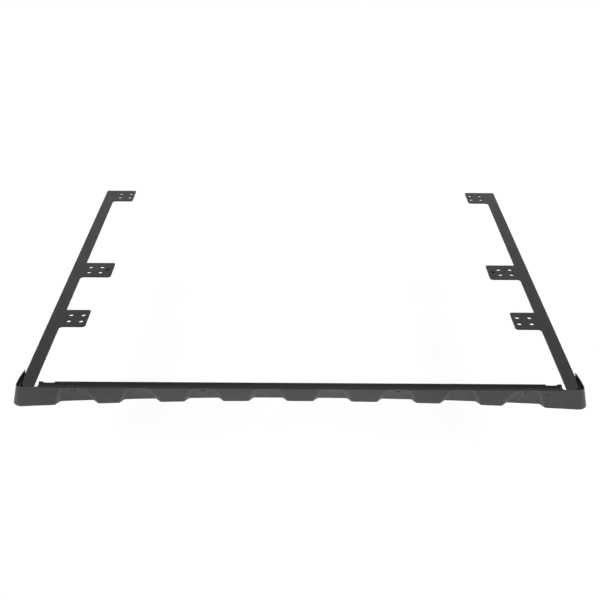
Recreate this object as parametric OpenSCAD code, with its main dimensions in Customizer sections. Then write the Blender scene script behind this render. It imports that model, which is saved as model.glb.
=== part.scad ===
// Ladder rack for a truck bed or a trailer. Two flat side rails bolt down by their tabs, and a
// pressed sheet fairing closes the front. X runs across the vehicle, Y to its rear and Z up.
// The origin is the middle of the rack's four outermost mounting holes, at the rails' underside.

/* [Side rails] */
// Thickness of the rail plate
rail_t = 3; // [2:0.5:4]
// Width over the outer edges of both rails
rack_w = 1300; // [1290:1:1304]
// Width of the rail's plain strip
strip_w = 32.6; // [28:0.1:34]
// From the fairing's top edge to the rails' rear ends
rail_len = 1190; // [1100:1:1400]

/* [Mounting tabs] */
// Length of a tab along the rail
tab_len = 86; // [76:1:92]
// From a rail's outer edge to the tip of its front tab
front_tab_reach = 98; // [92:1:104]
// From a rail's outer edge to the tip of its middle tab
mid_tab_reach = 116; // [112:1:124]
// From a rail's outer edge to the tip of its rear tab
rear_tab_reach = 96; // [92:1:104]
// From the fairing's top edge to the middle of the front tab
front_tab_y = 323; // [280:1:400]
// From the fairing's top edge to the middle of the middle tab
mid_tab_y = 601; // [560:1:700]
// Diameter of a mounting hole
tab_hole_d = 12; // [9:0.5:14]
// Spacing of a tab's four holes, the same both ways
tab_hole_pitch = 32; // [28:1:36]
// From a rail's outer edge to the middle of a tab's four holes
tab_hole_inset = 67.2; // [64:0.1:70]
// From a rail's outer edge to the threaded insert
insert_inset = 101; // [99:0.5:104]
// Diameter of the insert's thread core
insert_core_d = 8.5; // [5:0.1:8.5]

/* [Fairing] */
// Thickness of the fairing sheet
sheet_t = 2; // [1.5:0.1:2.5]
// Lean of the face, bottom edge to the rear
face_lean = 26.6; // [20:0.1:30]
// Height of the face at its middle
mid_h = 53.4; // [46:0.1:56]
// Height of the face and of the side wings at the corners
end_h = 83.6; // [80:0.1:86]
// Depth of the top flange
flange_depth = 14.6; // [12:0.1:18]
// Outer radius of the fold between face and flange
fold_r = 5; // [4:0.1:6]
// How far the side wings run to the rear
wing_len = 74; // [66:1:80]

/* [Pockets] */
// Spacing of the pressed pockets
pocket_pitch = 151.6; // [150:0.1:152]
// Half-width of a pocket's floor, run up to the face's top edge
floor_half = 18; // [16:0.1:18]
// Widening of a pocket floor's half-width for each millimetre down the face
floor_spread = 0.27; // [0.2:0.01:0.3]
// Depth of a pocket just below its top
pocket_step = 4; // [3:0.1:4.5]
// Further depth that a pocket's curved floor gains down the face
pocket_rise = 6; // [4:0.1:6.5]
// Sideways run of a pocket's wall for each millimetre of depth
wall_run = 1.24; // [1:0.01:1.5]

/* [Fasteners] */
// Shank diameter of the fairing bolts
bolt_d = 6; // [5:1:6]
// How far down the face the two inner bolts sit
inner_bolt_drop = 19; // [18:0.1:21]
// How far down the face the two outer bolts sit
outer_bolt_drop = 25; // [22:0.1:26]
// Thickness of the brace bar behind the pockets
brace_t = 4; // [3:0.5:5]
// Width of the brace bar
brace_w = 22; // [20:1:22]

/* [Hidden] */
$fn = 64;

coat = "#3b3b3d";
bare = "#8f9194";
pockets = 8;
eps = 0.01;

// Rails
rail_edge = rack_w / 2;
rear_tab_y = rail_len - tab_len / 2;
front_tip_r = 9;
rear_tip_r = 5;
front_root_r = 10;
rear_root_r = 3;
front_end_r = 14;
front_taper = 4;
front_taper_len = 62;

// The four outermost holes set the origin
outer_hole_front = front_tab_y - tab_hole_pitch / 2;
outer_hole_rear = rear_tab_y + tab_hole_pitch / 2;
front_y = -(outer_hole_front + outer_hole_rear) / 2;

// Fairing, along its own slope
lean_run = tan(face_lean);
slope = 1 / cos(face_lean);
flange_half = pockets / 2 * pocket_pitch;
flange_lift = 1;
fold_start = fold_r - flange_lift;
notch_outer = flange_half - 10;
notch_inner = flange_half - 38;
notch_depth = 3;
rise_len = 90;
arch_r = 14;
arch_half = 16;
brace_drop = (inner_bolt_drop + outer_bolt_drop) / 2;
brace_tilt = atan(2 * pocket_rise / rise_len * (1 - (brace_drop - fold_start) / rise_len));

// Corners and side wings, at the top edge and at the corners' full height
wing_top_x = 660.5;
corner_top_r = 14;
wing_bottom_x = 690;
corner_bottom_r = 25;
wing_toe_in = 5.3;
wing_front = corner_top_r;
wing_foot_r = 8;
edge_r = (pow(wing_bottom_x - corner_bottom_r, 2) + pow(end_h - mid_h, 2)) / (2 * (end_h - mid_h));

// Grid of the fairing sheet
row_shares = [0, 0.06, 0.13, 0.22, 0.5, 1];
fold_steps = 4;
fold_rows = fold_steps + 1;
rows = fold_rows + len(row_shares);
ruled_shares = concat([for (r = [0:fold_rows - 1]) 0.08 * r / fold_rows],
                      [for (share = row_shares) 0.08 + 0.92 * share]);
rim_shares = [0, 0.5, 0.7, 0.8, 0.9, 1];
pocket_cols = len(rim_shares);
corner_steps = 7;
wing_steps = 4;
shoulder = [1, 12, 25];

// Fasteners
bolt_places = [[-3.5, outer_bolt_drop], [-1.5, inner_bolt_drop],
               [1.5, inner_bolt_drop], [3.5, outer_bolt_drop]];
seat_gap = 0.08;
bolt_gap = 0.2;
head_d = 11;
head_h = 3.4;
socket_d = 4.6;
socket_depth = 2;
washer_d = 12;
washer_t = 1.6;
nut_flats = 10;
nut_t = 5;
brace_half = 3.5 * pocket_pitch + 25;
rivet_x = rail_edge - 70.5;
rivet_drop = 27;
rivet_d = 4.8;
rivet_head_d = 9;
bracket_t = 3;
bracket_top = 9;
bracket_h = 30;
bracket_inner = rail_edge - 80;
bracket_outer = rail_edge - 4;
foot_inner = rail_edge - 28;
foot_len = front_taper_len;
web_t = 3;
web_h = 50;
web_gap = 0.3;
web_drop = 0.5;
web_lap = 10;
web_foot = 12;
web_floor_corner = [[6, 0], [15, 4], [20, 10]];
web_floor_end = 22;
wing_tilt = atan((wing_bottom_x - wing_top_x) / end_h);

insert_d = 12;
insert_flange_d = 17;
insert_flange_t = 2;
insert_depth = 16;
insert_barrel_d = 12.6;

// Height of the bottom edge below the top edge, at x across
function edge_h(x) = min(end_h, mid_h + edge_r - sqrt(edge_r * edge_r - min(x * x, edge_r * edge_r)));

// A pocket's floor at s down the slope: its depth, and the half-width out to its rim
function floor_d(s) = pocket_step + pocket_rise * (1 - pow(1 - (s - fold_start) / rise_len, 2));
function rim_half(s) = floor_half + floor_spread * s + wall_run * floor_d(s);

// Height of the rim's arched top at x from the pocket's middle
function arch_top(x) = fold_start + arch_r - sqrt(pow(arch_r, 2) - pow(min(arch_r, max(0, abs(x) - arch_half)), 2));

// Pressed depth at x from the pocket's middle and s down the slope
function pressed(x, s) = max(0, min(floor_d(s), (rim_half(s) - abs(x)) / wall_run, (s - arch_top(x)) / wall_run));

// Distance of a column from its pocket's middle
function column_x(j, s) =
    sign(j) * (abs(j) < pocket_cols ? rim_half(s) * rim_shares[abs(j)] : pocket_pitch / 2);

// A point of the leaning face's frame: across, down the slope and inwards
function face_point(x, s, n) =
    [x, s / slope * lean_run + n / slope, n * sin(face_lean) - s / slope];

// The flange's rear edge and the fold at x, as pairs of outer and inner points
function fold_pairs(x) = concat(
    [[face_point(x, -flange_lift, flange_depth), face_point(x, sheet_t - flange_lift, flange_depth)]],
    [for (k = [fold_steps:-1:1])
        let (a = 90 * k / fold_steps)
        [for (r = [fold_r, fold_r - sheet_t])
            face_point(x, fold_start - r * sin(a), fold_r - r * cos(a))]]);

// A column across a pocket, from the flange over the fold and down the face
function face_column(mid, j) =
    let (foot = slope * edge_h(mid + column_x(j, slope * edge_h(mid))))
    concat(fold_pairs(mid + column_x(j, fold_start)),
        [for (share = row_shares)
            let (s = fold_start + (foot - fold_start) * share,
                 u = column_x(j, s),
                 d = pressed(u, s))
            [face_point(mid + u, s, d), face_point(mid + u, s, d + sheet_t)]]);

// A straight column from a point of the top edge to one at the corners' full height,
// with the sheet's inward direction there
function ruled_column(top, foot, foot_h, along) =
    let (rule = (foot - top) / end_h,
         side = cross(along, rule),
         inward = side / norm(side))
    [for (share = ruled_shares)
        let (p = top + rule * foot_h * share)
        [p, p + sheet_t * (inward + inward[2] * rule)]];

// The face beyond the flange, widening downwards to the corner
function shoulder_column(dx) =
    let (reach = wing_top_x - corner_top_r - flange_half,
         spread = (wing_bottom_x - corner_bottom_r) - (wing_top_x - corner_top_r),
         x = flange_half + dx,
         low_x = x + spread * dx / reach)
    ruled_column([x, 0, 0], [low_x, lean_run * end_h, -end_h], edge_h(low_x), [1, 0, 0]);

// The rounded corner, at an angle round it
function corner_column(a) =
    ruled_column([wing_top_x - corner_top_r * (1 - sin(a)), corner_top_r * (1 - cos(a)), 0],
                 [wing_bottom_x - corner_bottom_r * (1 - sin(a)),
                  lean_run * end_h + corner_bottom_r * (1 - cos(a)), -end_h],
                 end_h, [cos(a), sin(a), 0]);

// The side wing, at a share of its length; its rear end is parallel to the face
function wing_column(t) =
    let (run = wing_len - wing_front,
         low_run = wing_len - corner_bottom_r,
         toe = wing_toe_in * t * t)
    ruled_column([wing_top_x - toe, wing_front + run * t, 0],
                 [wing_bottom_x - toe, lean_run * end_h + corner_bottom_r + low_run * t, -end_h],
                 end_h - wing_foot_r * pow(t, 6), [-wing_toe_in / run, 1, 0]);

half_columns = concat(
    [for (i = [0:pockets / 2 - 1], j = [-pocket_cols:pocket_cols])
        if (j > -pocket_cols) face_column((i + 0.5) * pocket_pitch, j)],
    [for (dx = shoulder) shoulder_column(dx)],
    [for (i = [0:corner_steps]) corner_column(90 * i / corner_steps)],
    [for (i = [1:wing_steps]) wing_column(i / wing_steps)]);

function mirrored(column) = [for (pair = column) [for (p = pair) [-p[0], p[1], p[2]]]];

// The sheet is a grid of cells. The flange's two ends are cut free of the face beside them.
module fairing_sheet() {
    n = len(half_columns);
    middle = [face_column(0.5 * pocket_pitch, -pocket_cols)];
    columns = concat([for (i = [n - 1:-1:0]) mirrored(half_columns[i])], middle, half_columns);
    last = len(columns) - 1;
    inner = len(columns) * rows;
    cut = pockets / 2 * (2 * pocket_cols);
    function cell(c, r) = c >= 0 && c < last && r >= 0 && r < rows - 1
        && !(r < fold_rows && (c == n + cut || c == n - cut - 1));
    function rim(a, b) = [[a, b, b + inner], [a, b + inner, a + inner]];
    function quad(a, b, c, d) = [[a, b, c], [a, c, d]];
    points = concat([for (c = columns, pair = c) pair[0]], [for (c = columns, pair = c) pair[1]]);
    faces = [for (c = [0:last - 1], r = [0:rows - 2])
        if (cell(c, r))
            let (a = c * rows + r, b = a + rows)
            each concat(
                quad(a, b, b + 1, a + 1),
                quad(a + inner + 1, b + inner + 1, b + inner, a + inner),
                cell(c - 1, r) ? [] : rim(a, a + 1),
                cell(c + 1, r) ? [] : rim(b + 1, b),
                cell(c, r - 1) ? [] : rim(b, a),
                cell(c, r + 1) ? [] : rim(a + 1, b + 1))];
    polyhedron(points, faces, convexity = 10);
}

// Frames: the rack from its front edge, the leaning face, and a pocket's floor
module rack() translate([0, front_y, rail_t]) children();
module face() rotate([face_lean, 0, 0]) children();
module pocket_floor()
    face() translate([0, floor_d(brace_drop), -brace_drop]) rotate([brace_tilt, 0, 0]) children();
module each_bolt(y)
    for (place = bolt_places)
        pocket_floor() translate([place[0] * pocket_pitch, y, (brace_drop - place[1]) / cos(brace_tilt)])
            children();
module inwards() rotate([-90, 0, 0]) children();

module wind_fairing() {
    color(coat) rack() difference() {
        fairing_sheet();
        for (side = [-1, 1]) face()
            translate([side * (notch_outer + notch_inner) / 2, flange_depth, flange_lift])
                cube([notch_outer - notch_inner, 2 * notch_depth, 3 * sheet_t], center = true);
        each_bolt(-1) inwards() cylinder(d = bolt_d + 2 * bolt_gap, h = sheet_t + 2);
        for (side = [-1, 1]) face() translate([side * rivet_x, 0, -rivet_drop]) {
            inwards() translate([0, 0, -1]) cylinder(d = rivet_d, h = sheet_t + 2);
        }
    }
}

module fairing_brace() {
    color(coat) rack() difference() {
        pocket_floor() translate([-brace_half, sheet_t, -brace_w / 2])
            cube([2 * brace_half, brace_t, brace_w]);
        each_bolt(0) inwards() cylinder(d = bolt_d + 2 * bolt_gap, h = sheet_t + brace_t + 1);
    }
}

// Plan of the right rail, from the fairing's top edge
module tip(x, y, r, up) {
    // rounds the tab corner at x, y by taking away what lies outside its circle
    translate([x, y]) mirror([0, up ? 1 : 0]) difference() {
        translate([-2, -2]) square(r + 2);
        translate([r, r]) circle(r);
    }
}

module root(x, y, r, up) {
    // fills the inner corner between strip and tab
    translate([x, y]) mirror([0, up ? 0 : 1]) difference() {
        translate([-r, -eps]) square([r + eps, r + eps]);
        translate([-r, r]) circle(r);
    }
}

module tab(y, reach, at_end) {
    strip_in = rail_edge - strip_w;
    difference() {
        translate([rail_edge - reach, y - tab_len / 2]) square([reach - strip_w + eps, tab_len]);
        tip(rail_edge - reach, y - tab_len / 2, front_tip_r, false);
        tip(rail_edge - reach, y + tab_len / 2, rear_tip_r, true);
    }
    root(strip_in, y - tab_len / 2, front_root_r, false);
    if (!at_end) root(strip_in, y + tab_len / 2, rear_root_r, true);
}

module rail_plan() {
    difference() {
        union() {
            difference() {
                translate([rail_edge - strip_w, 0]) square([strip_w, rail_len]);
                translate([rail_edge, rail_len]) mirror([1, 0]) tip(0, 0, rear_tip_r, true);
                polygon([[rail_edge, front_taper_len], [rail_edge + 1, front_taper_len],
                         [rail_edge + 1, 0], [rail_edge - front_taper, 0]]);
                translate([rail_edge - front_taper * (1 - (sheet_t + front_end_r) / front_taper_len), sheet_t])
                    mirror([1, 0]) tip(0, 0, front_end_r, false);
            }
            tab(front_tab_y, front_tab_reach, false);
            tab(mid_tab_y, mid_tab_reach, false);
            tab(rear_tab_y, rear_tab_reach, true);
        }
        for (y = [front_tab_y, mid_tab_y, rear_tab_y], dx = [-1, 1], dy = [-1, 1])
            translate([rail_edge - tab_hole_inset + dx * tab_hole_pitch / 2, y + dy * tab_hole_pitch / 2])
                circle(d = tab_hole_d);
        translate([rail_edge - insert_inset, mid_tab_y]) circle(d = insert_d);
    }
}

module side_rail() {
    // the front end is cut to the slope of the face it is welded to
    difference() {
        translate([0, 0, -rail_t]) linear_extrude(rail_t) rail_plan();
        face() translate([rail_edge - strip_w - 1, sheet_t - 20, -20]) cube([strip_w + 2, 20, 40]);
    }
}

module corner_bracket() {
    // one leg lies behind the face, the other is welded under the rail
    difference() {
        union() {
            face() translate([bracket_inner, sheet_t, -bracket_top - bracket_h])
                cube([bracket_outer - bracket_inner, bracket_t, bracket_h]);
            intersection() {
                translate([foot_inner, 0, -rail_t - bracket_t])
                    cube([bracket_outer - foot_inner, foot_len, bracket_t]);
                face() translate([foot_inner, sheet_t, -60]) cube([strip_w, 120, 120]);
            }
            intersection() {
                face() translate([foot_inner, sheet_t, -bracket_top - 1])
                    cube([bracket_outer - foot_inner, bracket_t, 30]);
                translate([foot_inner, 0, -rail_t - 60]) cube([strip_w, 60, 60]);
            }
        }
        face() translate([rivet_x, 0, -rivet_drop]) inwards() cylinder(d = rivet_d, h = 8);
    }
    corner_web();
}

// Closed box under the gap between rail and side wing: a rear web, an inner wall and a bottom
module corner_web() {
    toe = wing_toe_in * pow((foot_len - wing_front) / (wing_len - wing_front), 2);
    top_x = wing_top_x - toe - sheet_t / cos(wing_tilt) - web_gap;
    low_x = top_x + web_h * tan(wing_tilt);
    lap_x = bracket_outer - web_lap;
    rear_y = foot_len - web_t / 2;
    wall_x = rail_edge - front_taper - web_t;
    low_front = lean_run * web_h + sheet_t * slope + web_gap;
    translate([0, foot_len, 0]) rotate([90, 0, 0]) linear_extrude(web_t)
        polygon([[lap_x, -rail_t - bracket_t / 2], [lap_x, -rail_t], [rail_edge + web_gap, -rail_t],
                 [rail_edge + web_gap, -web_drop], [top_x, -web_drop],
                 [low_x, -web_h], [wall_x, -web_h], [lap_x, -web_foot]]);
    translate([wall_x, 0, 0]) rotate([90, 0, 90]) linear_extrude(web_t)
        polygon([[low_front - lean_run * (web_h - rail_t), -rail_t], [rear_y, -rail_t],
                 [rear_y, -web_h], [low_front, -web_h]]);
    translate([0, 0, -web_h]) linear_extrude(web_t)
        polygon(concat([[wall_x, low_front]],
                       [for (p = web_floor_corner) [rail_edge + p[0], low_front + p[1]]],
                       [[rail_edge + web_floor_end, rear_y], [wall_x, rear_y]]));
}

// A domed socket-head bolt through floor, brace, washer and nut
module fairing_bolt() {
    grip = sheet_t + brace_t + washer_t + nut_t + 1.5;
    dome_r = (head_d * head_d / 4 + head_h * head_h) / (2 * head_h);
    difference() {
        union() {
            inwards() cylinder(d = bolt_d, h = grip);
            intersection() {
                translate([0, dome_r - head_h, 0]) sphere(dome_r);
                inwards() translate([0, 0, -head_h]) cylinder(d = head_d, h = head_h + eps);
            }
        }
        translate([0, -head_h - eps, 0]) inwards() cylinder(d = socket_d, h = socket_depth, $fn = 6);
    }
}

module corner_rivet() {
    grip = sheet_t + bracket_t;
    inwards() cylinder(d = rivet_d, h = grip);
    translate([0, grip - eps, 0]) inwards() cylinder(d = rivet_head_d, h = 1.5);
    translate([0, -0.4, 0]) inwards() cylinder(d = rivet_head_d, h = 0.4 + eps);
}

module thread_insert() {
    translate([rail_edge - insert_inset, mid_tab_y, 0]) difference() {
        union() {
            translate([0, 0, -rail_t]) cylinder(d = insert_d, h = rail_t);
            translate([0, 0, -rail_t - insert_flange_t]) cylinder(d = insert_flange_d, h = insert_flange_t);
            translate([0, 0, -insert_depth - 2]) cylinder(d = insert_barrel_d, h = insert_depth);
        }
        translate([0, 0, -insert_depth]) cylinder(d = insert_core_d, h = insert_depth + 1);
    }
}

module right_side_rail() { color(coat) rack() side_rail(); }
module left_side_rail() { color(coat) rack() mirror([1, 0, 0]) side_rail(); }
module right_corner_bracket() { color(coat) rack() corner_bracket(); }
module left_corner_bracket() { color(coat) rack() mirror([1, 0, 0]) corner_bracket(); }
module right_thread_insert() { color(bare) rack() thread_insert(); }
module left_thread_insert() { color(bare) rack() mirror([1, 0, 0]) thread_insert(); }

module corner_rivets() {
    color(coat) rack() for (side = [-1, 1])
        face() translate([side * rivet_x, 0, -rivet_drop]) corner_rivet();
}

module fairing_bolts() {
    color("#1e1e20") rack() each_bolt(-seat_gap) fairing_bolt();
}

module fairing_washers() {
    color(bare) rack() each_bolt(sheet_t + brace_t) inwards()
        difference() {
            cylinder(d = washer_d, h = washer_t);
            translate([0, 0, -1]) cylinder(d = bolt_d + 2 * bolt_gap, h = washer_t + 2);
        }
}

module fairing_nuts() {
    color(bare) rack() each_bolt(sheet_t + brace_t + washer_t) inwards()
        difference() {
            cylinder(d = nut_flats / cos(30), h = nut_t, $fn = 6);
            translate([0, 0, -1]) cylinder(d = bolt_d, h = nut_t + 2);
        }
}

left_side_rail();
right_side_rail();
wind_fairing();
fairing_brace();
left_corner_bracket();
right_corner_bracket();
corner_rivets();
fairing_bolts();
fairing_washers();
fairing_nuts();
left_thread_insert();
right_thread_insert();
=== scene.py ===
import math

import bmesh
import bpy
from mathutils import Matrix, Vector


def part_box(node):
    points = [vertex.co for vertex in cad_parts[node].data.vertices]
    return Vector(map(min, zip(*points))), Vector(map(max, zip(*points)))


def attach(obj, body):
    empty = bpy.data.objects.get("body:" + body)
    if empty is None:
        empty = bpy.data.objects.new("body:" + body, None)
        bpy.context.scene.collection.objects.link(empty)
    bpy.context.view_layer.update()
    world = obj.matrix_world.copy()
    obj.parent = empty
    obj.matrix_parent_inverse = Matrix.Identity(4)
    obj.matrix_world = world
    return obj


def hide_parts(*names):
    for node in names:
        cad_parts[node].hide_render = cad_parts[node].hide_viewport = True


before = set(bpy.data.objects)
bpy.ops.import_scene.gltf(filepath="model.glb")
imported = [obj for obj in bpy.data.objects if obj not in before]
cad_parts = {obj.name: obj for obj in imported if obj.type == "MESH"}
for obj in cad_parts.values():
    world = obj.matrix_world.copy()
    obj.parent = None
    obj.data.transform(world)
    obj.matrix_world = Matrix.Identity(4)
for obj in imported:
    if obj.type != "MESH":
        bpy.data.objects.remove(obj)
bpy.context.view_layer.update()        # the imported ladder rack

MM = 0.001

# Places that follow from the frame, in millimetres
FAIRING_LOW, FAIRING_HIGH = ([v / MM for v in corner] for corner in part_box("wind_fairing"))
FRONT_Y = FAIRING_LOW[1]                        # the face's top edge
RAIL_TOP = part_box("right_side_rail")[1][2] / MM
END_H = RAIL_TOP - FAIRING_LOW[2]               # height of the face at the corners

# The fairing sheet, in millimetres
SHEET_T = 2.0
FACE_LEAN = math.radians(26.6)
LEAN_RUN = math.tan(FACE_LEAN)    # how far the face runs to the rear for each millimetre of height
SLOPE = 1 / math.cos(FACE_LEAN)   # length down the face for each millimetre of height
MID_H = 53.4                      # height of the face at its middle
EDGE_R = 0.35                     # rounding of the sheet's cut edges
EDGE_TURN = math.radians(60)      # edges sharper than this are rounded
EDGE_SEGMENTS = 2

# Its top flange
FOLD_R = 5.0
FLANGE_LIFT = 1.0                 # how far the flange's top lies above the face's top edge
FLANGE_DEPTH = 14.6
FOLD_START = FOLD_R - FLANGE_LIFT
NOTCH_DEPTH = 3.0
NOTCH_SIDE = 1.5
TIP_LEN = 1.5                     # the flange's end is rounded over this length
TIP_ROUND = 0.6
RELIEF_R = 4.5
NOSE_SHARE = 0.62                 # how far round the fold the sheet still goes at the relief
SLIT_W = 0.6                      # gap between the relief and the shoulder

# Its pockets
POCKET_PITCH = 151.6
POCKETS = 8
FLOOR_HALF = 18.0
FLOOR_SPREAD = 0.27               # widening of a floor's half-width per millimetre down the face
POCKET_STEP = 4.0                 # depth just below the top
POCKET_RISE = 6.0                 # depth gained over RISE_LEN down the face
RISE_LEN = 90.0
WALL_RUN = 1.24                   # sideways run of a wall per millimetre of depth
ARCH_R = 14.0
ARCH_HALF = 16.0
SOFTNESS = 1.6                    # how far the pressed bends are blended
FLANGE_HALF = POCKET_PITCH * POCKETS / 2
NOTCH_OUTER = FLANGE_HALF - 10
NOTCH_INNER = FLANGE_HALF - 38

# Its corners and side wings
WING_TOP_X = 660.5
CORNER_TOP_R = 14.0
WING_BOTTOM_X = FAIRING_HIGH[0]
CORNER_BOTTOM_R = 25.0
WING_LEN = 74.0
WING_TOE_IN = 5.3
WING_FOOT_R = 8.0
WING_FOOT_POWER = 6               # keeps the rounding close to the wing's rear end
REACH = WING_BOTTOM_X - CORNER_BOTTOM_R
EDGE_ARC_R = (REACH ** 2 + (END_H - MID_H) ** 2) / (2 * (END_H - MID_H))

# Grid of the fairing: steps over a pocket's floor, its wall and the plain face beside it
FLOOR_STEPS = 8
WALL_STEPS = 14
FLAT_STEPS = 5
FACE_ROWS = 34
FOLD_ROWS = 14
SHOULDER_STEPS = 8
CORNER_STEPS = 22
WING_STEPS = 12
NOTCH_STATIONS = (0.0, 0.5, 1.0)              # shares of the notch's sloped side
TIP_STATIONS = (1.5, 0.9, 0.4, 0.0)           # millimetres from the flange's end
INFILL_STATIONS = (0.33, 0.66)                # shares of the way from the last pocket to the notch
RELIEF_STATIONS = (0.03, 0.12, 0.3, 0.6, 1.0)  # shares of the relief's radius
FLANGE_CROWDING = 1.3                         # rows lie closer towards the face
FACE_CROWDING = 1.15                          # rows lie closer towards the fold
RULED_CROWDING = 1.1
RULED_TOP_SHARE = 0.12                        # of a straight column, as fine as the fold's rows

# Finishes, as linear colours
COAT_DEEP = (0.0032, 0.0030, 0.0029, 1)
COAT_PALE = (0.0056, 0.0052, 0.0050, 1)
COAT_SPECK = (0.014, 0.013, 0.013, 1)
COAT_RUB = (0.030, 0.029, 0.028, 1)
# painted shade: the coat's colour deep inside narrow gaps
COAT_PAINTED_SHADE = (0.0008, 0.0008, 0.0008, 1)
OXIDE_DEEP = (0.012, 0.012, 0.013, 1)
OXIDE_PALE = (0.035, 0.034, 0.034, 1)
# painted highlight: the bolts' colour on the side that faces upwards
OXIDE_PAINTED_HIGHLIGHT = (0.15, 0.15, 0.15, 1)
OXIDE_EDGE = (0.20, 0.20, 0.20, 1)
INSERT_DEEP = (0.004, 0.004, 0.004, 1)
INSERT_PALE = (0.012, 0.012, 0.012, 1)
INSERT_EDGE = (0.03, 0.03, 0.03, 1)
ZINC_DEEP = (0.42, 0.43, 0.45, 1)
ZINC_PALE = (0.60, 0.61, 0.62, 1)
ZINC_EDGE = (0.75, 0.75, 0.75, 1)
WHITE = (1, 1, 1, 1)

# Where the edge mask and the painted gap-shade mask start and end, and their samples
EDGE_FLAT = 0.98
EDGE_SHARP = 0.8
EDGE_SAMPLES = 6
GAP_CLOSED = 0.62
GAP_OPEN = 0.95
GAP_SAMPLES = 12

# Stage, in metres
FLOOR_SIZE = 60.0
FLOOR_GAP = 0.9                   # from the fairing's lowest edge down to the floor
CAMERA_LENS = 59.09               # millimetres, on a sensor of 36
CAMERA_SENSOR = 36
CAMERA_X = -0.0077
CAMERA_BACK = 1.9015              # in front of the face's top edge
CAMERA_UP = 1.2702                # above the rails
CAMERA_TURNS = (0.158, 28.604, 0.435)   # yaw, pitch and roll in degrees
CAMERA_FAR = 100

# Light, with suns in W/m2 and spots in W. The sky's strength falls from SKY_LOW to SKY_TOP
# between two heights of its direction.
SKY_LOW = 1.08
SKY_TOP = 0.0
SKY_FROM = 0.3
SKY_TO = 0.95
KEY = 1.40
KEY_TILT = 60                     # degrees, as all tilts
KEY_ANGLE = math.radians(36)
POOL = 330.0
POOL_X = 3.2
POOL_BACK = 0.15
POOL_TILT = 47
POOL_CONE = math.radians(14)
POOL_SOFT = 0.4
TOP = 50.0
TOP_UP = 3
TOP_CONE = math.radians(34)
TOP_SOFT = 0.5
FRONT = 0.7
FRONT_TILT = 52
FRONT_ANGLE = math.radians(8)
LAMP_UP = 2.0
WARM = (1.0, 0.965, 0.945)

# Which pieces have which finish
COATED = ("left_side_rail", "right_side_rail", "fairing_brace", "left_corner_bracket",
          "right_corner_bracket", "corner_rivets")
ZINC_PLATED = ("fairing_washers", "fairing_nuts")
INSERTS = ("left_thread_insert", "right_thread_insert")


# ---------------------------------------------------------------- materials

class Nodes:
    """A short way to wire a material's nodes."""

    def __init__(self, name):
        self.material = bpy.data.materials.new(name)
        self.material.use_nodes = True
        self.tree = self.material.node_tree
        self.shader = self.tree.nodes["Principled BSDF"]
        coords = self.tree.nodes.new("ShaderNodeTexCoord")
        self.place = coords.outputs["Object"]

    def put(self, socket, value):
        """Link an output to a socket, or set the socket to a plain value."""
        if isinstance(value, bpy.types.NodeSocket):
            self.tree.links.new(value, socket)
        else:
            socket.default_value = value

    def add(self, kind, **inputs):
        """A new node with the named inputs set."""
        node = self.tree.nodes.new(kind)
        for name, value in inputs.items():
            self.put(node.inputs[name.replace("_", " ")], value)
        return node

    def noise(self, scale, detail=3.0, roughness=0.5):
        node = self.add("ShaderNodeTexNoise", Vector=self.place, Scale=scale,
                        Detail=detail, Roughness=roughness)
        return node.outputs["Fac"]

    def remap(self, value, low, high, out_low, out_high):
        node = self.add("ShaderNodeMapRange")
        for socket, number in zip(node.inputs[:5], (value, low, high, out_low, out_high)):
            self.put(socket, number)
        return node.outputs["Result"]

    def math(self, operation, a, b):
        node = self.tree.nodes.new("ShaderNodeMath")
        node.operation = operation
        self.put(node.inputs[0], a)
        self.put(node.inputs[1], b)
        return node.outputs[0]

    def mix(self, factor, a, b):
        node = self.tree.nodes.new("ShaderNodeMix")
        node.data_type = "RGBA"
        self.put(node.inputs[0], factor)
        self.put(node.inputs[6], a)
        self.put(node.inputs[7], b)
        return node.outputs[2]

    def edges(self, radius):
        """1 along sharp edges and 0 elsewhere, from a rounded normal."""
        soft = self.tree.nodes.new("ShaderNodeBevel")
        soft.samples = EDGE_SAMPLES
        self.put(soft.inputs["Radius"], radius)
        sharp = self.tree.nodes.new("ShaderNodeNewGeometry")
        turn = self.tree.nodes.new("ShaderNodeVectorMath")
        turn.operation = "DOT_PRODUCT"
        self.tree.links.new(soft.outputs["Normal"], turn.inputs[0])
        self.tree.links.new(sharp.outputs["Normal"], turn.inputs[1])
        return self.remap(turn.outputs["Value"], EDGE_FLAT, EDGE_SHARP, 0.0, 1.0)

    def painted_gap_shade(self, reach):
        """Painted-shade mask: 0 deep inside narrow gaps, which are painted dark, and 1 on open faces.
        """
        node = self.tree.nodes.new("ShaderNodeAmbientOcclusion")
        node.samples = GAP_SAMPLES
        self.put(node.inputs["Distance"], reach)
        return self.remap(node.outputs["AO"], GAP_CLOSED, GAP_OPEN, 0.0, 1.0)

    def bumps(self, *layers):
        """Bump from (height, strength, distance) layers, one over another."""
        normal = None
        for height, strength, distance in layers:
            node = self.tree.nodes.new("ShaderNodeBump")
            self.put(node.inputs["Strength"], strength)
            self.put(node.inputs["Distance"], distance)
            self.put(node.inputs["Height"], height)
            if normal:
                self.tree.links.new(normal, node.inputs["Normal"])
            normal = node.outputs["Normal"]
        self.tree.links.new(normal, self.shader.inputs["Normal"])

    def finish(self, color, roughness, metallic=0.0, specular=0.5):
        """Set the shader's sockets and hand over the material."""
        self.put(self.shader.inputs["Base Color"], color)
        self.put(self.shader.inputs["Roughness"], roughness)
        self.put(self.shader.inputs["Metallic"], metallic)
        self.put(self.shader.inputs["Specular IOR Level"], specular)
        return self.material


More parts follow.
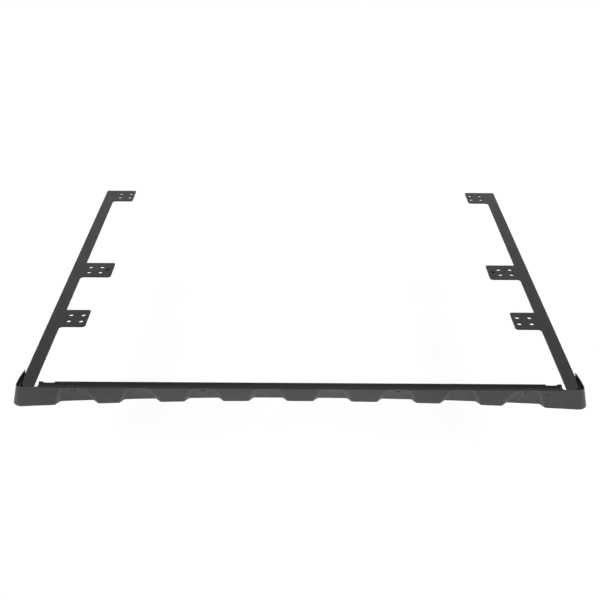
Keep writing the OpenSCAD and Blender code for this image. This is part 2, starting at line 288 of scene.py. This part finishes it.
def powder_coat():
    """Fine-textured black powder coat, paler where it is rubbed, with painted shade making it dull
    black deep in gaps.
    """
    n = Nodes("powder_coat")
    grain = n.noise(1500, 2.0, 0.6)
    orange_peel = n.noise(260, 2.0)
    cloud = n.noise(9, 3.0)
    coat = n.mix(cloud, COAT_DEEP, COAT_PALE)
    coat = n.mix(n.remap(grain, 0.58, 0.75, 0.0, 0.5), coat, COAT_SPECK)
    rub = n.math("MULTIPLY", n.edges(0.0012), n.remap(n.noise(60, 4.0), 0.4, 0.7, 0.1, 0.7))
    coat = n.mix(rub, coat, COAT_RUB)
    rough = n.math("ADD", n.remap(cloud, 0.3, 0.7, 0.40, 0.48),
                   n.remap(grain, 0.3, 0.7, -0.04, 0.06))
    n.bumps((grain, 0.4, 0.0003), (orange_peel, 0.5, 0.0006))
    # painted shade: the coat turns near black and fully rough deep in narrow gaps
    unshaded = n.painted_gap_shade(0.04)
    return n.finish(n.mix(unshaded, COAT_PAINTED_SHADE, coat), n.remap(unshaded, 0.0, 1.0, 1.0, rough),
                    specular=0.34)


def black_oxide():
    """Oiled black oxide, worn towards bright steel along edges, with a painted highlight lightening
    the side that faces upwards.
    """
    n = Nodes("black_oxide")
    patch = n.noise(350, 3.0)
    oxide = n.mix(patch, OXIDE_DEEP, OXIDE_PALE)
    # painted highlight: the head's upward-facing side is lightened towards bright steel
    facing = n.tree.nodes.new("ShaderNodeSeparateXYZ")
    n.put(facing.inputs["Vector"], n.tree.nodes.new("ShaderNodeNewGeometry").outputs["Normal"])
    painted_highlight = n.math("ADD", n.remap(facing.outputs["Z"], 0.0, 0.35, 0.0, 0.9),
                     n.remap(patch, 0.3, 0.7, -0.1, 0.1))
    oxide = n.mix(painted_highlight, oxide, OXIDE_PAINTED_HIGHLIGHT)
    oxide = n.mix(n.math("MULTIPLY", n.edges(0.0006), 0.4), oxide, OXIDE_EDGE)
    n.bumps((n.noise(2500, 2.0), 0.15, 0.0001))
    return n.finish(oxide, n.remap(painted_highlight, 0.0, 0.9, 0.85, 0.3), 0.4)


def dull_black():
    """The thread inserts' dark finish, almost matt."""
    n = Nodes("dull_black")
    patch = n.noise(400, 3.0)
    dull = n.mix(patch, INSERT_DEEP, INSERT_PALE)
    dull = n.mix(n.math("MULTIPLY", n.edges(0.0005), 0.3), dull, INSERT_EDGE)
    n.bumps((n.noise(2200, 2.0), 0.2, 0.0001))
    return n.finish(dull, n.remap(patch, 0.3, 0.7, 0.6, 0.75), specular=0.25)


def zinc_plate():
    """Zinc plate on washers and nuts, with dull blooms."""
    n = Nodes("zinc_plate")
    bloom = n.noise(180, 4.0, 0.6)
    zinc = n.mix(bloom, ZINC_DEEP, ZINC_PALE)
    zinc = n.mix(n.math("MULTIPLY", n.edges(0.0006), 0.7), zinc, ZINC_EDGE)
    n.bumps((n.noise(1800, 2.0), 0.2, 0.0001))
    return n.finish(zinc, n.remap(bloom, 0.3, 0.7, 0.28, 0.45), 1.0)


def floor_material():
    """Matt white."""
    return Nodes("pale_floor").finish(WHITE, 1.0, specular=0.0)


# ---------------------------------------------------------------- fairing

def eased(t):
    """0 to 1 with a soft start and end."""
    t = min(1.0, max(0.0, t))
    return t * t * (3 - 2 * t)


def edge_h(x):
    """Height of the arched bottom edge below the top edge."""
    drop = EDGE_ARC_R - math.sqrt(EDGE_ARC_R ** 2 - min(x * x, REACH ** 2))
    return min(END_H, MID_H + drop)


def floor_depth(s):
    """Depth of a pocket's curved floor at s down the slope."""
    return POCKET_STEP + POCKET_RISE * (1 - (1 - (s - FOLD_START) / RISE_LEN) ** 2)


def floor_half(s):
    """Half-width of a pocket's floor at s down the slope."""
    return FLOOR_HALF + FLOOR_SPREAD * s


def rim_half(s):
    """Half-width of a pocket where its walls meet the plain face."""
    return floor_half(s) + WALL_RUN * floor_depth(s)


def softer_min(a, b):
    """The lesser of two depths, blended where they are close."""
    near = max(0.0, SOFTNESS - abs(a - b)) / SOFTNESS
    return min(a, b) - near * near * SOFTNESS / 4


def softer_floor(d):
    """Zero below zero, with a soft start above it."""
    if d >= SOFTNESS:
        return d
    return 0.0 if d <= -SOFTNESS else (d + SOFTNESS) ** 2 / (4 * SOFTNESS)


def pressed(u, s):
    """Pressed depth at u from a pocket's middle and s down the slope."""
    past = min(ARCH_R, max(0.0, abs(u) - ARCH_HALF))
    arch_top = FOLD_START + ARCH_R - math.sqrt(ARCH_R ** 2 - past ** 2)
    side = (rim_half(s) - abs(u)) / WALL_RUN
    top = (s - arch_top - SOFTNESS) / WALL_RUN
    return softer_floor(softer_min(floor_depth(s), softer_min(side, top)))


def face_point(x, s, inward):
    """A point of the face's frame: across, down the slope and inwards."""
    return Vector((x, FRONT_Y + s / SLOPE * LEAN_RUN + inward / SLOPE,
                   RAIL_TOP - s / SLOPE + inward * math.sin(FACE_LEAN)))


def fold_column(x, length):
    """From the flange's rear edge round the fold to the face, along a given unfolded length."""
    arc = FOLD_R * math.pi / 2
    pairs = []
    for r in range(FOLD_ROWS):
        left = length * (1 - r / FOLD_ROWS) ** FLANGE_CROWDING
        if left > arc:
            y = FOLD_R + left - arc
            pairs.append((face_point(x, -FLANGE_LIFT, y), face_point(x, SHEET_T - FLANGE_LIFT, y)))
        else:
            up, back = math.sin(left / FOLD_R), math.cos(left / FOLD_R)
            pairs.append(tuple(face_point(x, FOLD_START - radius * up, FOLD_R - radius * back)
                               for radius in (FOLD_R, FOLD_R - SHEET_T)))
    return pairs


def pocket_stations(last):
    """Where the columns across a pocket go: to 1 over its floor, to 2 over its wall, to 3 beyond."""
    floor = [i / FLOOR_STEPS for i in range(FLOOR_STEPS + 1)]
    wall = [1 + i / WALL_STEPS for i in range(1, WALL_STEPS + 1)]
    flat = [2 + i / FLAT_STEPS for i in range(1, FLAT_STEPS + 1)]
    left = [-k for k in reversed(floor[1:] + wall + flat)]
    if last:
        # the columns beside the last pocket follow the notch in the flange
        rim = rim_half(FOLD_START)
        room = POCKET_PITCH / 2 - rim
        middle = FLANGE_HALF - POCKET_PITCH / 2
        xs = [NOTCH_INNER + NOTCH_SIDE * k for k in NOTCH_STATIONS]
        xs += [NOTCH_OUTER - NOTCH_SIDE * (1 - k) for k in NOTCH_STATIONS]
        xs += [FLANGE_HALF - k for k in TIP_STATIONS]
        flat = [2 + (x - middle - rim) / room for x in xs]
        flat = [2 + (flat[0] - 2) * k for k in INFILL_STATIONS] + flat
    return left[1:] + floor + wall + flat


def across_pocket(k, s):
    """Distance of station k from the pocket's middle, at s down the slope."""
    size = abs(k)
    if size <= 1:
        away = floor_half(s) * size
    elif size <= 2:
        away = floor_half(s) + WALL_RUN * floor_depth(s) * (size - 1)
    else:
        away = rim_half(s) + (POCKET_PITCH / 2 - rim_half(s)) * (size - 2)
    return math.copysign(away, k)


def face_rows(foot_h):
    """Where the rows lie down the slope, from the fold to a foot at the given height."""
    run = foot_h * SLOPE - FOLD_START
    return [FOLD_START + run * (r / (FACE_ROWS - 1)) ** FACE_CROWDING for r in range(FACE_ROWS)]


def face_column(mid, k):
    """A column from the flange over the fold and down through a pocket, as (outer, inner) pairs."""
    pairs = []
    for s in face_rows(edge_h(mid + across_pocket(k, SLOPE * edge_h(mid)))):
        u = across_pocket(k, s)
        depth = pressed(u, s)
        pairs.append((face_point(mid + u, s, depth), face_point(mid + u, s, depth + SHEET_T)))
    top = pairs[0][0][0]
    return fold_column(top, flange_length(top)) + pairs


def flange_length(x):
    """Unfolded length above the face at x, with the notch near each end."""
    full = FOLD_R * math.pi / 2 + FLANGE_DEPTH - FOLD_R
    x = abs(x)
    notch = eased((x - NOTCH_INNER) / NOTCH_SIDE) * eased((NOTCH_OUTER - x) / NOTCH_SIDE)
    tip = max(0.0, x - (FLANGE_HALF - TIP_LEN))
    return full - NOTCH_DEPTH * notch - tip ** 2 * TIP_ROUND


def ruled_column(top, foot, foot_h, along):
    """A straight column from the top edge to the bottom edge, as (outer, inner) pairs.

    The inner surface is cut level with the outer one at both ends."""
    rule = (foot - top) / END_H
    inward = along.cross(rule).normalized()
    step = SHEET_T * (inward + inward.z * rule)
    shares = [RULED_TOP_SHARE * r / FOLD_ROWS for r in range(FOLD_ROWS)]
    shares += [RULED_TOP_SHARE + (1 - RULED_TOP_SHARE) * (r / (FACE_ROWS - 1)) ** RULED_CROWDING
               for r in range(FACE_ROWS)]
    return [(top + rule * foot_h * t, top + rule * foot_h * t + step) for t in shares]


def shoulder_column(x):
    """The plain face between flange and corner, widening downwards."""
    top_reach = WING_TOP_X - CORNER_TOP_R
    low_x = x + (REACH - top_reach) * (x - FLANGE_HALF) / (top_reach - FLANGE_HALF)
    return ruled_column(face_point(x, 0, 0), face_point(low_x, END_H * SLOPE, 0), edge_h(low_x),
                        Vector((1, 0, 0)))


def corner_column(a):
    """The rounded corner at angle a, from 0 at the face to a right angle at the side wing."""
    ahead, aside = 1 - math.cos(a), 1 - math.sin(a)
    top = Vector((WING_TOP_X - CORNER_TOP_R * aside, FRONT_Y + CORNER_TOP_R * ahead, RAIL_TOP))
    foot = Vector((WING_BOTTOM_X - CORNER_BOTTOM_R * aside,
                   FRONT_Y + LEAN_RUN * END_H + CORNER_BOTTOM_R * ahead, RAIL_TOP - END_H))
    return ruled_column(top, foot, END_H, Vector((math.cos(a), math.sin(a), 0)))


def wing_column(t):
    """The side wing, from 0 at the corner to 1 at its rear end."""
    toe = WING_TOE_IN * t * t
    run = WING_LEN - CORNER_TOP_R
    low_run = WING_LEN - CORNER_BOTTOM_R
    top = Vector((WING_TOP_X - toe, FRONT_Y + CORNER_TOP_R + run * t, RAIL_TOP))
    foot = Vector((WING_BOTTOM_X - toe,
                   FRONT_Y + LEAN_RUN * END_H + CORNER_BOTTOM_R + low_run * t, RAIL_TOP - END_H))
    return ruled_column(top, foot, END_H - WING_FOOT_R * t ** WING_FOOT_POWER,
                        Vector((-WING_TOE_IN / run, 1, 0)))


def relief_column(x):
    """A column of the small concave relief at the flange's end."""
    left = FLANGE_HALF + RELIEF_R - x
    rise = RELIEF_R - math.sqrt(max(0.0, RELIEF_R ** 2 - left ** 2))
    pairs = [(face_point(x, s, 0), face_point(x, s, SHEET_T)) for s in face_rows(edge_h(x))]
    return fold_column(x, NOSE_SHARE * FOLD_R * math.pi / 2 + rise) + pairs


def half_sheet():
    """Columns of the right half from its middle outwards, and the index of the first shoulder one."""
    columns = []
    for i in range(POCKETS // 2):
        mid = (i + 0.5) * POCKET_PITCH
        columns += [face_column(mid, k) for k in pocket_stations(i == POCKETS // 2 - 1)]
    columns += [relief_column(FLANGE_HALF + RELIEF_R * t) for t in RELIEF_STATIONS]
    shoulder = len(columns)
    start = FLANGE_HALF + RELIEF_R + SLIT_W
    room = WING_TOP_X - CORNER_TOP_R - start
    columns += [shoulder_column(start + room * i / SHOULDER_STEPS) for i in range(SHOULDER_STEPS + 1)]
    columns += [corner_column(math.pi / 2 * i / CORNER_STEPS) for i in range(1, CORNER_STEPS + 1)]
    columns += [wing_column(i / WING_STEPS) for i in range(1, WING_STEPS + 1)]
    return columns, shoulder


def mirrored(column):
    """The same column on the left half."""
    return [tuple(Vector((-p.x, p.y, p.z)) for p in pair) for pair in column]


def rims(c, r):
    """The four cells beside a cell, each with the two grid points of the side they share."""
    return (((c - 1, r), (c, r), (c, r + 1)),
            ((c + 1, r), (c + 1, r + 1), (c + 1, r)),
            ((c, r - 1), (c + 1, r), (c, r)),
            ((c, r + 1), (c, r + 1), (c + 1, r + 1)))


def sheet_mesh():
    """One closed sheet: a grid of outer and inner points, with its rims closed."""
    half, shoulder = half_sheet()
    middle = face_column(POCKET_PITCH / 2, -3.0)
    columns = [mirrored(c) for c in reversed(half)] + [middle] + half
    # beside the flange's ends the sheet is open down to the face
    slits = {len(half) - shoulder, len(half) + shoulder}
    mesh = bmesh.new()
    outer, inner = ([[mesh.verts.new(pair[side] * MM) for pair in column] for column in columns]
                    for side in (0, 1))
    cells = {(c, r) for c in range(len(columns) - 1) for r in range(len(middle) - 1)
             if not (c in slits and r < FOLD_ROWS)}
    for c, r in cells:
        for grid in (outer, inner):
            corners = [grid[c][r], grid[c][r + 1], grid[c + 1][r + 1], grid[c + 1][r]]
            mesh.faces.new(corners if grid is outer else corners[::-1])
        for there, (ac, ar), (bc, br) in rims(c, r):
            if there not in cells:
                mesh.faces.new((outer[bc][br], outer[ac][ar], inner[ac][ar], inner[bc][br]))
    bmesh.ops.recalc_face_normals(mesh, faces=mesh.faces)
    data = bpy.data.meshes.new("wind_fairing_sheet")
    mesh.to_mesh(data)
    mesh.free()
    for face in data.polygons:
        face.use_smooth = True
    return data


def build_fairing(material):
    """The fairing as a fine mesh with softened rims, in place of the CAD node."""
    data = sheet_mesh()
    data.materials.append(material)
    sheet = bpy.data.objects.new("wind_fairing_sheet", data)
    bpy.context.collection.objects.link(sheet)
    soft = sheet.modifiers.new("rims", "BEVEL")
    soft.width = EDGE_R * MM
    soft.segments = EDGE_SEGMENTS
    soft.limit_method = "ANGLE"
    soft.angle_limit = EDGE_TURN
    soft.harden_normals = True
    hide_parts("wind_fairing")
    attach(sheet, "root")


# ---------------------------------------------------------------- stage

def build_floor(material):
    """A wide plain floor below the rack, which is no part of it."""
    bpy.ops.mesh.primitive_plane_add(size=FLOOR_SIZE,
                                     location=(0, 0, FAIRING_LOW[2] * MM - FLOOR_GAP))
    floor = bpy.context.object
    floor.name = "floor"
    floor.data.materials.append(material)


def add_lamp(name, kind, energy, place, turn, **settings):
    """A lamp that shines down until it is turned, by degrees about X, Y and Z."""
    data = bpy.data.lights.new(name, kind)
    data.energy = energy
    for key, value in settings.items():
        setattr(data, key, value)
    lamp = bpy.data.objects.new(name, data)
    lamp.location = place
    lamp.rotation_euler = [math.radians(a) for a in turn]
    bpy.context.collection.objects.link(lamp)


def build_light():
    """A sky that dims overhead, a soft key and a pool of light from each side, and two weak lamps."""
    world = bpy.data.worlds.new("studio")
    bpy.context.scene.world = world
    world.use_nodes = True
    tree = world.node_tree
    sky = tree.nodes["Background"]
    sky.inputs["Color"].default_value = WHITE
    coords = tree.nodes.new("ShaderNodeTexCoord")
    height = tree.nodes.new("ShaderNodeSeparateXYZ")
    ramp = tree.nodes.new("ShaderNodeMapRange")
    for name, value in (("From Min", SKY_FROM), ("From Max", SKY_TO),
                        ("To Min", SKY_LOW), ("To Max", SKY_TOP)):
        ramp.inputs[name].default_value = value
    tree.links.new(coords.outputs["Generated"], height.inputs["Vector"])
    tree.links.new(height.outputs["Z"], ramp.inputs["Value"])
    tree.links.new(ramp.outputs["Result"], sky.inputs["Strength"])
    front = FRONT_Y * MM
    for side in (-1, 1):
        add_lamp("side_key", "SUN", KEY, (2 * side, 0, LAMP_UP), (0, KEY_TILT * side, 0),
                 angle=KEY_ANGLE, color=WARM)
        add_lamp("side_pool", "SPOT", POOL, (POOL_X * side, front + POOL_BACK, LAMP_UP),
                 (0, POOL_TILT * side, 0), spot_size=POOL_CONE, spot_blend=1.0,
                 shadow_soft_size=POOL_SOFT, color=WARM)
    add_lamp("top_box", "SPOT", TOP, (0, front, TOP_UP), (0, 0, 0),
             spot_size=TOP_CONE, spot_blend=1.0, shadow_soft_size=TOP_SOFT)
    add_lamp("front_lamp", "SUN", FRONT, (0, -2, LAMP_UP), (FRONT_TILT, 0, 0), angle=FRONT_ANGLE)


def build_camera():
    """Seen from the front and above, close to the rack's centre line."""
    data = bpy.data.cameras.new("camera")
    data.lens = CAMERA_LENS
    data.sensor_width = CAMERA_SENSOR
    data.clip_end = CAMERA_FAR
    camera = bpy.data.objects.new("camera", data)
    bpy.context.collection.objects.link(camera)
    place = Vector((CAMERA_X, FRONT_Y * MM - CAMERA_BACK, RAIL_TOP * MM + CAMERA_UP))
    yaw, pitch, roll = (math.radians(turn) for turn in CAMERA_TURNS)
    camera.matrix_world = (Matrix.Translation(place)
                           @ Matrix.Rotation(-yaw, 4, "Z")
                           @ Matrix.Rotation(math.pi / 2 - pitch, 4, "X")
                           @ Matrix.Rotation(roll, 4, "Z"))
    bpy.context.scene.camera = camera


def set_view():
    """Colours straight from the scene, with no film look."""
    bpy.context.scene.view_settings.view_transform = "Standard"
    bpy.context.scene.view_settings.look = "None"


# ---------------------------------------------------------------- the rack

def dress(names, material):
    """Give CAD nodes their material."""
    for name in names:
        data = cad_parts[name].data
        data.materials.clear()
        data.materials.append(material)


coat = powder_coat()
dress(COATED, coat)
dress(("fairing_bolts",), black_oxide())
dress(ZINC_PLATED, zinc_plate())
dress(INSERTS, dull_black())
build_fairing(coat)
build_floor(floor_material())
build_light()
build_camera()
set_view()
